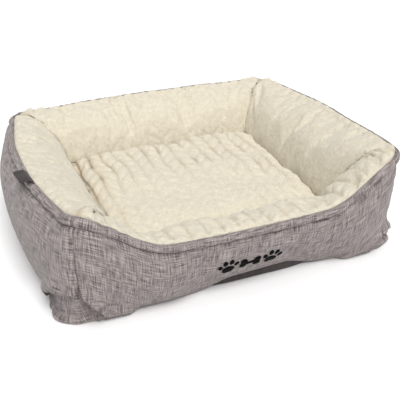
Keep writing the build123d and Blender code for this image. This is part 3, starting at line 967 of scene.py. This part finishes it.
def cushion_grids():
    """Top and bottom grids of the cushion, which share their outer edge."""
    u, v = np.meshgrid(np.linspace(-1, 1, cushion_across), np.linspace(-1, 1, cushion_deep), indexing="ij")
    shapes = []
    up, down = top_high.z - 0.001 - seam_level, under_low.z + 0.002 - seam_level
    for top, swell, rise in ((0.98, 1.25, up), (0.98, 0.97, down)):
        out_u, high_u = pillow_side(u, top, swell)
        out_v, high_v = pillow_side(v, top, swell)
        x = out_u * (1 - 0.034 * np.abs(v) ** 9)
        y = out_v * (1 - 0.034 * np.abs(u) ** 9)
        z = rise * high_u * high_v
        y = y * cushion_half[1] + well_middle[1]
        shapes.append(np.stack((x * cushion_half[0], y, z + seam_level), -1))
    return u, v, shapes


def seamed(columns, rows):
    """Two grids that share their edge: the points inside it, their numbers above and below, and the faces."""
    inner = np.zeros((columns, rows), bool)
    inner[1:-1, 1:-1] = True
    number = np.arange(columns * rows).reshape(columns, rows)
    below = number.copy()
    below[inner] = columns * rows + np.arange(inner.sum())
    faces = np.concatenate((quads(columns, rows), below.ravel()[quads(columns, rows)][:, ::-1]))
    return inner, number, below, faces


def cushion_body():
    """The stuffed cushion before its ropes: the settled top and bottom grids."""
    u, v, (top, bottom) = cushion_grids()
    dent = ripple(top[..., :2], 0.13, 91) * 0.0022 * (1 - np.maximum(np.abs(u), np.abs(v)) ** 4)
    top[..., 2] += dent
    columns, rows = u.shape
    inner, number, below, faces = seamed(columns, rows)
    case = make_piece("case", np.concatenate((top.reshape(-1, 3), bottom[inner])), faces)
    held = np.concatenate((number[~inner], below[4:-4, 4:-4].ravel()))
    points = stuffed(case, held, [], growth=0.035, firm_growth=0, pressure=3.0, cap=0.012)
    bpy.data.objects.remove(case)
    bottom = bottom.copy()
    bottom[~inner] = points[number[~inner]]
    bottom[inner] = np.stack([points[below[inner]][:, 0], points[below[inner]][:, 1],
                              np.maximum(points[below[inner]][:, 2], under_low.z + 0.0005)], -1)
    return points[:columns * rows].reshape(columns, rows, 3), bottom


def clear_of(points, others, gap):
    """Moves points that come nearer than a gap to other pieces back out of them."""
    depsgraph = bpy.context.evaluated_depsgraph_get()
    trees = [BVHTree.FromObject(other, depsgraph) for other in others]
    for i, point in enumerate(points):
        for tree in trees:
            near, normal, _, apart = tree.find_nearest(Vector(point), 0.03)
            if near is None:
                continue
            away = Vector(point) - near
            signed = apart if away.dot(normal) > 0 else -apart
            if signed < gap:
                points[i] = np.array(Vector(point) + normal * (gap - signed))
                point = points[i]
    return points


def eased_over(grid, rounds):
    """The grid with its small unevenness smoothed, edges kept."""
    for _ in range(rounds):
        middle = grid[1:-1, 1:-1] * 2
        grid[1:-1, 1:-1] = (middle + grid[:-2, 1:-1] + grid[2:, 1:-1] + grid[1:-1, :-2] + grid[1:-1, 2:]) / 6
    return grid


cushion_top, cushion_bottom = cushion_body()
shape = cushion_top.shape
cushion_top = clear_of(cushion_top.reshape(-1, 3).copy(), plush_walls.values(), body_gap).reshape(shape)
cushion_top = eased_over(cushion_top, 1)


def cushion_piece():
    """The plush-covered cushion with its ropes, closed underneath."""
    fine = refined(cushion_top, cushion_fine)
    under = refined(cushion_bottom, cushion_fine)
    middle = np.array((0, well_middle[1], seam_level))
    normal = outward(fine, middle)
    across, deep = lengths(fine, 0), lengths(fine, 1)
    across = across - across[len(across) // 2][None]
    deep = deep - deep[:, deep.shape[1] // 2][:, None]
    flat = np.stack((fine[..., 0], fine[..., 1]), -1)
    relief = plait(across + 0.003 * ripple(flat, 0.14, 95), deep + 0.007 * ripple(flat, 0.16, 96))
    u = np.linspace(-1, 1, fine.shape[0])[:, None]
    v = np.linspace(-1, 1, fine.shape[1])[None]
    seam = np.minimum(1 - np.abs(u), 1 - np.abs(v))
    fade = ease(seam / 0.06)
    full = 0.55 + 0.45 * ease((v + 0.35) / 0.8) + 0.35 * ease((u - 0.3) / 0.5) * ease((v + 0.8) / 0.6)
    full = full * (1 - 0.35 * np.exp(-((u + 0.15) ** 2 + (v + 0.45) ** 2) / 0.25))
    worn = np.clip(full, 0.3, 1) * (0.85 + 0.2 * ripple(flat, 0.09, 97))
    fine = fine + normal * (cushion_relief * (relief - 0.45) * fade * worn)[..., None]
    fine = clear_of(fine.reshape(-1, 3).copy(), plush_walls.values(), rope_gap).reshape(fine.shape)
    # Painted shade, kept in the cloth's third value: the rope grooves and the band along the seam are painted
    # darker, and a painted shadow of the left wall darkens the cushion's left side.
    tone = 1 - 1.05 * (1 - relief) * fade * np.clip(worn, 0, 1) - 0.38 * (1 - ease((seam - 0.02) / 0.12))
    tone = tone - 0.45 * ease((-u - 0.45) / 0.45)
    inner, _, _, faces = seamed(*fine.shape[:2])
    inside = under[inner] * (0.985, 0.985, 1) + (0, 0.015 * well_middle[1], 0.0022)
    points = np.concatenate((fine.reshape(-1, 3), inside))
    lie = np.stack((across, deep, np.clip(tone, 0, 1)), -1)
    cloth = np.concatenate((lie.reshape(-1, 3), lie[inner] * (1, 1, 0) + (0, 0, 0.6)))
    piece = make_piece("cushion", points, faces, cloth)
    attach(piece, "cushion")
    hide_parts("cushion_top_cover", "cushion_fill")
    piece.data.materials.append(plush)


cushion_piece()

# The under cover is a plain cream cotton sheet with its edge sewn into the mid-height seam.
# Its colour is the frame's own floor_lining_cloth material, not the woven cotton made for the floor lining.
under_face = refined(cushion_bottom, 2)
under_normal = outward(under_face, np.array((0, well_middle[1], seam_level)))
under_face = under_face + under_normal * 0.0009
under_face[..., 2] = np.minimum(under_face[..., 2], seam_level - 0.0004)
under_lie = np.stack((lengths(under_face, 0), lengths(under_face, 1), np.zeros(under_face.shape[:2])), -1)
under_cover = slab("cushion_under_cover", under_face, under_face - under_normal * 0.0008, under_lie)
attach(under_cover, "cushion")
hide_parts("cushion_bottom_cover")
declare_cloth(under_cover, under_lie)
under_cover.data.materials.append(bpy.data.materials["floor_lining_cloth"])


# ---------------------------------------------------------------- zip
# A nylon coil zip in the rear of the cushion's cover: woven tape, moulded coil, small metal slider and puller.
# The tape is sewn on below the mid-height seam, where the full side of the cushion hides it.
tape_low, tape_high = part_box("cushion_zip_tape")
coil_low, coil_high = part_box("cushion_zip_coil")
coil_radius = (coil_high.z - coil_low.z) / 2
coil_pitch = 0.0016

along, level = np.meshgrid(np.linspace(tape_low.x, tape_high.x, 121),
                           np.linspace(tape_low.z, tape_high.z, 13), indexing="ij")
ribbed = 0.0002 * np.cos(2 * pi * (level - tape_low.z) / 0.004)
tape_back = np.stack((along, np.full_like(along, tape_low.y), level), -1)
tape_front = np.stack((along, np.full_like(along, tape_high.y - 0.0003) + ribbed, level), -1)
tape_lie = np.stack((along, level, np.zeros_like(along)), -1)
zip_tape = slab("zip_tape", tape_front, tape_back, tape_lie)
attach(zip_tape, "cushion")
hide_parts("cushion_zip_tape")
declare_cloth(zip_tape, tape_lie)
zip_tape.data.materials.append(woven("zip_tape", (0.50, 0.46, 0.38, 1), (0.70, 0.65, 0.55, 1), contrast=1.5,
                                     pitch=0.0006, slub=0.006))

turns = int((coil_high.x - coil_low.x) / coil_pitch)
angle = np.linspace(0, 2 * pi * turns, turns * 8 + 1)
line_x = np.linspace(coil_low.x + 0.0004, coil_high.x - 0.0004, len(angle))
thick = 0.0004
ring = np.linspace(0, 2 * pi, 5)[:-1]
wind = coil_radius - thick
radius = wind + thick * np.cos(ring)[None]
coil_grid = np.stack((line_x[:, None] + thick * np.sin(ring)[None],
                      (coil_low.y + coil_high.y) / 2 + radius * np.cos(angle)[:, None],
                      (coil_low.z + coil_high.z) / 2 + radius * np.sin(angle)[:, None]), -1)
zip_coil = tube("zip_coil", coil_grid)
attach(zip_coil, "cushion")
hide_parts("cushion_zip_coil")
nylon, nodes, shader = new_material("zip_coil", 0.38)
speckled(nodes, shader, (0.52, 0.47, 0.38, 1), (0.70, 0.65, 0.55, 1), Scale=900.0)
zip_coil.data.materials.append(nylon)

# Plated zinc slider and puller, lightly scratched.
plated, nodes, shader = new_material("zip_metal", 0.32, metallic=1.0)
rub = speckled(nodes, shader, (0.42, 0.40, 0.37, 1), (0.62, 0.60, 0.56, 1),
               Scale=420.0, Detail=6.0, Distortion=2.0)
scuff = nodes.add("ShaderNodeMapRange", {"Value": rub, "To Min": 0.22, "To Max": 0.46})
nodes.feed(shader.inputs["Roughness"], scuff.outputs[0])
for name in ("zip_slider", "zip_puller"):
    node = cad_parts[name]
    node.data.materials.clear()
    node.data.materials.append(plated)


# ---------------------------------------------------------------- woven tab
# A blank dark brown woven tab, caught along its inner edge in the left rim seam.
# It lies on the crest of the rolled rim band and stands out stiffly past it.
tab_centre, tab_width, tab_reach = 0.098, 0.058, 0.029
tab_cloth = 0.0011

rim_line, _ = down_panel(walls["left"], 0.0004)
seam_run = -(rim_line[:, 1] - well_middle[1])
tab_columns = np.linspace(tab_centre - tab_width / 2, tab_centre + tab_width / 2, 33)
tab_rows = np.linspace(0.0004, tab_reach, 17)
tab_root = along_line(tab_columns, seam_run, rim_line)
share = tab_rows / tab_reach
tab_out = -0.93 * tab_rows
tab_rise = 0.0080 * np.sin(pi / 2 * np.clip(tab_rows / 0.011, 0, 1)) - 0.0010 * ease((share - 0.5) / 0.5)
tab_grid = tab_root[:, None] + np.stack((tab_out, 0 * tab_out, tab_rise), -1)[None]
tab_grid[..., 2] += 0.0007 * ripple(tab_grid, 0.04, 61) * share
tab_up = np.broadcast_to((0.0, 0.0, 1.0), tab_grid.shape)
tab_lie = np.stack(np.broadcast_arrays(tab_columns[:, None] + 9, tab_rows[None], 0.0), -1)
tab = slab("woven_tab", tab_grid + tab_up * tab_cloth, tab_grid, tab_lie)
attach(tab, "label_tab")
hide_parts("label_tab")
declare_cloth(tab, tab_lie)
tab_weave = woven("woven_label", (0.020, 0.015, 0.014, 1), (0.056, 0.042, 0.038, 1), contrast=2.2,
                  pitch=0.0007, slub=0.008, roughness=0.7, sheen=0.08)
tab.data.materials.append(tab_weave)


# ---------------------------------------------------------------- embroidered motif
# Black satin stitch on the front panel: a bone between two paws. Each thread is laid upright across the shape,
# over a little padding, and dips into the linen at both of its ends.
motif_low, motif_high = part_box("motif")
motif_middle = np.array(((motif_low.x + motif_high.x) / 2, (motif_low.z + motif_high.z) / 2))
motif_length, paw_size = 0.130, 0.042
thread_pitch, thread_rise = 0.00062, 0.0016

front_face = faces_of_panels["front"][0]
front_rows = front_face.shape[1]
front_mesh = BVHTree.FromPolygons([tuple(p) for p in front_face.reshape(-1, 3)],
                                  [tuple(int(k) for k in q) for q in quads(len(front_face), front_rows)])


def ellipse(x, y, wide, high, lean=0.0):
    """Upper and lower edge of an ellipse above each x, or nothing outside it."""
    def edges(at):
        c, n = np.cos(radians(lean)), np.sin(radians(lean))
        a = (n / wide) ** 2 + (c / high) ** 2
        b = 2 * (at - x) * n * c * (1 / wide ** 2 - 1 / high ** 2)
        k = (at - x) ** 2 * ((c / wide) ** 2 + (n / high) ** 2) - 1
        inside = b * b - 4 * a * k
        if inside <= 0:
            return None
        return y + (-b - np.sqrt(inside)) / (2 * a), y + (-b + np.sqrt(inside)) / (2 * a)
    return x - max(wide, high), x + max(wide, high), edges


def paw_shapes(x, lean):
    """One pad and four toes."""
    c, n = np.cos(radians(lean)), np.sin(radians(lean))
    turn = np.array(((c, -n), (n, c)))
    parts = ((0, -0.18, 0.30, 0.24, 0), (-0.38, 0.10, 0.10, 0.14, 24), (0.38, 0.10, 0.10, 0.14, -24),
             (-0.145, 0.31, 0.11, 0.16, 7), (0.145, 0.31, 0.11, 0.16, -7))
    for part in parts:
        spot = turn @ (np.array(part[:2]) * paw_size)
        yield ellipse(x + spot[0], spot[1], part[2] * paw_size, part[3] * paw_size, part[4] + lean)


bone_length, knob = motif_length - 2.1 * paw_size, 0.17 * paw_size
paw_place = (motif_length - 0.96 * paw_size) / 2
shapes = [*paw_shapes(-paw_place, 8), *paw_shapes(paw_place, -8)]
for end in (-1, 1):
    for side in (-1, 1):
        shapes.append(ellipse(end * (bone_length / 2 - knob), side * 0.72 * knob, knob, knob))
shapes.append((-bone_length / 2 + knob, bone_length / 2 - knob, lambda at: (-0.55 * knob, 0.55 * knob)))

stitch_points, stitch_faces = [], []
chance = np.random.default_rng(8)
for low, high, edges in shapes:
    for at in np.arange(low, high, thread_pitch):
        span = edges(at)
        if span is None or span[1] - span[0] < 0.0012:
            continue
        low_end, high_end = span + chance.normal(0, 0.00025, 2)
        count = max(4, int((high_end - low_end) / 0.0022) + 2)
        first = len(stitch_points)
        slip = chance.normal(0, 0.00012, 2)
        for k, share in enumerate(np.linspace(0, 1, count)):
            x = motif_middle[0] + at + slip[0] + (slip[1] - slip[0]) * share
            z = motif_middle[1] + low_end + (high_end - low_end) * share
            hit, normal, _, _ = front_mesh.ray_cast(Vector((x, -0.6, z)), Vector((0, 1, 0)))
            if normal.y > 0:
                normal = -normal
            arch = thread_rise * np.sin(pi * (0.06 + 0.88 * share)) ** 0.35
            side = Vector((1, 0, 0)).cross(normal).cross(normal).normalized() * (0.62 * thread_pitch)
            for way, rise in ((-1, 0.0), (-0.6, 0.85), (0.6, 0.85), (1, 0.0)):
                stitch_points.append(hit + side * way + normal * (arch - 0.00035 + 0.00045 * rise))
        for k in range(count - 1):
            a, b = first + 4 * k, first + 4 * (k + 1)
            stitch_faces += [(a + i, a + i + 1, b + i + 1, b + i) for i in range(3)] + [(a + 3, a, b, b + 3)]
        last = first + 4 * (count - 1)
        stitch_faces += [(first + 3, first + 2, first + 1, first), (last, last + 1, last + 2, last + 3)]
motif = make_piece("embroidered_motif", stitch_points, stitch_faces)
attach(motif, "shell")
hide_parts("motif")
thread_black, nodes, shader = new_material("black_thread", 0.6)
shader.inputs["Specular IOR Level"].default_value = 0.03
twist = speckled(nodes, shader, (0.0015, 0.0015, 0.0015, 1), (0.009, 0.0085, 0.0085, 1),
                 Scale=1400.0, Detail=2.0)
raised(nodes, shader, twist, 0.3, 0.0003)
motif.data.materials.append(thread_black)


# ---------------------------------------------------------------- seam stitching
# Dark grey lockstitch sunk in the groove under the rim band; its stitches are a few millimetres long. The
# thread is real topstitching, and its dark colour also paints the shadow line of that groove.
stitch_length, stitch_gap, stitch_thick = 0.0034, 0.0009, 0.0008


def stitch_line(name, spots, facings):
    """A row of short rounded stitches along a line of points."""
    run = run_of(spots)
    starts = np.arange(0.002, run[-1] - stitch_length - 0.002, stitch_length + stitch_gap)
    points, faces = [], []
    for start in starts:
        first = len(points)
        for share in (0, 0.25, 0.5, 0.75, 1):
            at = start + stitch_length * share
            spot, up = along_line(at, run, spots), along_line(at, run, facings)
            ahead = along_line(at + 0.002, run, spots) - spot
            side = np.cross(up, ahead)
            width = stitch_thick * (0.45 + 0.55 * np.sin(pi * (0.1 + 0.8 * share)))
            side *= width / max(np.linalg.norm(side), 1e-9)
            spot = spot + up * stitch_thick * (1.3 * np.sin(pi * share) - 0.5)
            points += [spot + side, spot + up * stitch_thick, spot - side, spot - up * stitch_thick]
        for k in range(4):
            a, b = first + 4 * k, first + 4 * k + 4
            faces += [(a + i, a + (i + 1) % 4, b + (i + 1) % 4, b + i) for i in range(4)]
        faces += [(first, first + 3, first + 2, first + 1), tuple(first + 16 + i for i in range(4))]
    return make_piece(name, points, faces)


# Real stitching thread, made dark so that it also paints the shadow in the groove.
seam_thread_and_shadow, nodes, shader = new_material("seam_thread_and_shadow", 0.7)
speckled(nodes, shader, (0.045, 0.037, 0.036, 1), (0.105, 0.090, 0.087, 1), Scale=1200.0)
for wall in walls.values():
    spot, facing = down_panel(wall, band_width + 0.0010)
    row = stitch_line(f"rim_stitching_{wall.name}", behind_mitres(spot[:, None], wall)[:, 0], facing)
    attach(row, "shell")
    row.data.materials.append(seam_thread_and_shadow)
